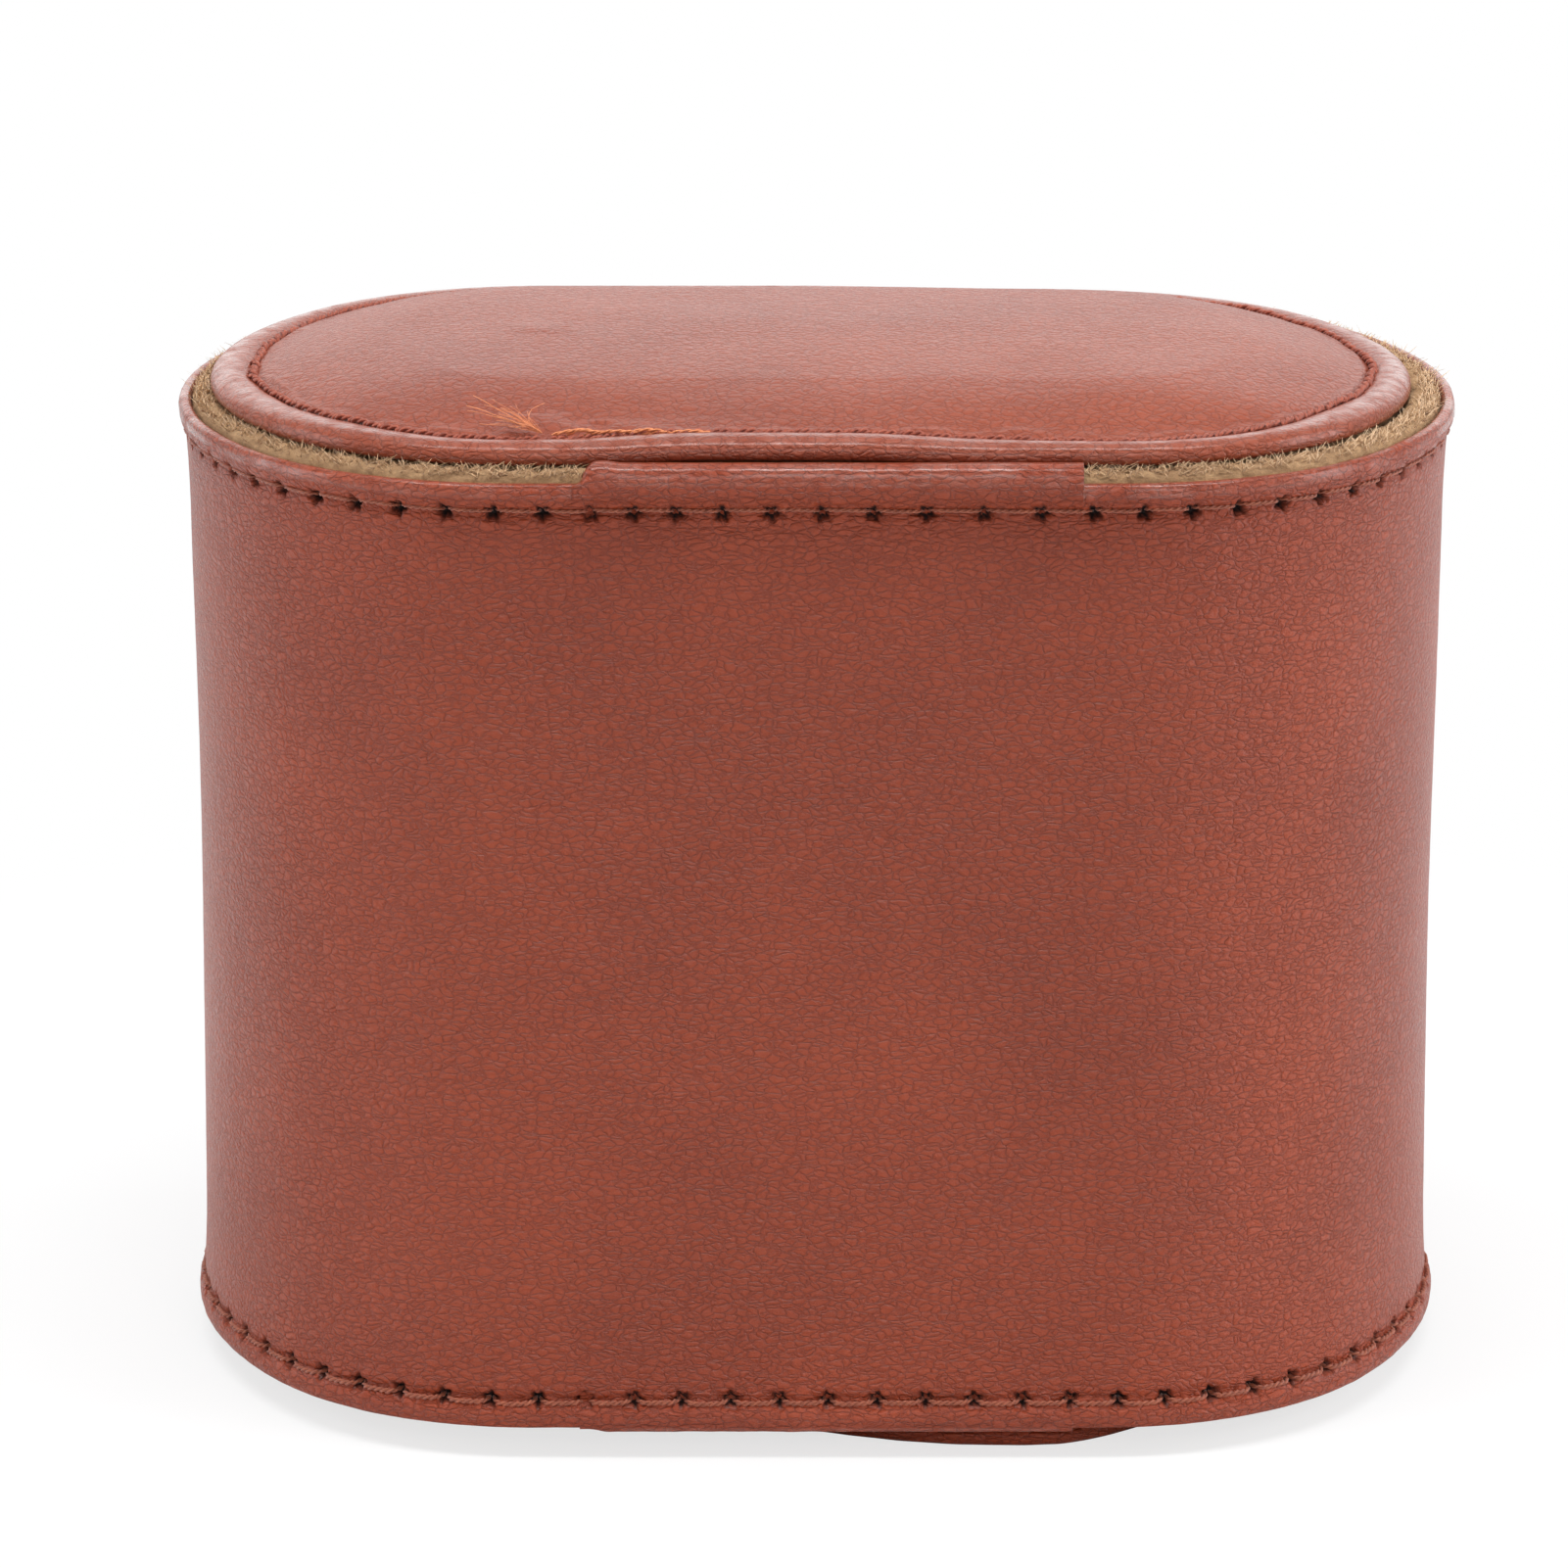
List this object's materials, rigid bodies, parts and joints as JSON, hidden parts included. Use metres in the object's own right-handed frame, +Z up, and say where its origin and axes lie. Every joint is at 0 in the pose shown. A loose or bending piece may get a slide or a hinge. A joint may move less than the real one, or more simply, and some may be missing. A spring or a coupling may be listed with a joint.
{
  "type": "watch travel case",
  "caption": "Oval leather travel case for a watch, standing on end, with felt-lined stitched wall, padded hinged end lids, rear flap with snap and a removable pillow.",
  "frame": {"origin": "middle of the base, on the flat of the lower pad", "axes": "+Z up along the oval tube, X along its width, -Y towards the seen front face, +Y towards the flap"},
  "size_m": [0.109, 0.0759, 0.0895],
  "materials": {
    "leather": "pebbled, semi-matt",
    "felt": "brushed felt",
    "thread": "twisted waxed thread",
    "snap_metal": "aged satin",
    "board": "raw",
    "foam": "open foam",
    "pillow_suede": "suede"
  },
  "bodies": {
    "shell": {"shell_leather": "leather", "shell_board": "board", "shell_lining": "felt", "top_rim_thread": "thread", "bottom_rim_thread": "thread", "top_hinge_strip": "leather", "bottom_hinge_strip": "leather", "flap_hinge_strip": "leather", "snap_stud": "snap_metal", "snap_post": "snap_metal", "pillow_cover": "pillow_suede", "pillow_foam": "foam"},
    "flap": {"flap_leather": "leather", "flap_board": "board", "flap_lining": "felt", "flap_rim_thread": "thread", "flap_tab": "leather", "flap_tab_thread": "thread", "snap_cap": "snap_metal", "snap_socket": "snap_metal"},
    "top_lid": {"top_lid_leather": "leather", "top_lid_foam": "foam", "top_lid_board": "board", "top_lid_lining": "felt", "top_lid_thread": "thread"},
    "bottom_lid": {"bottom_lid_leather": "leather", "bottom_lid_foam": "foam", "bottom_lid_board": "board", "bottom_lid_lining": "felt", "bottom_lid_thread": "thread"}
  },
  "joints": [
    {"name": "top_lid_hinge", "type": "hinge", "parent": "shell", "child": "top_lid", "pos_m": [0.0018, -0.0372, 0.0842], "axis": [1, 0, 0], "range_deg": [0, 110], "deforming": ["top_hinge_strip"]},
    {"name": "bottom_lid_hinge", "type": "hinge", "parent": "shell", "child": "bottom_lid", "pos_m": [0.0018, -0.0336, 0.0023], "axis": [-1, 0, 0], "range_deg": [0, 110], "deforming": ["bottom_hinge_strip"]},
    {"name": "flap_hinge", "type": "hinge", "parent": "shell", "child": "flap", "pos_m": [0.022, 0.0378, 0.0431], "axis": [0, 0, -1], "range_deg": [0, 110], "deforming": ["flap_hinge_strip"]}
  ]
}
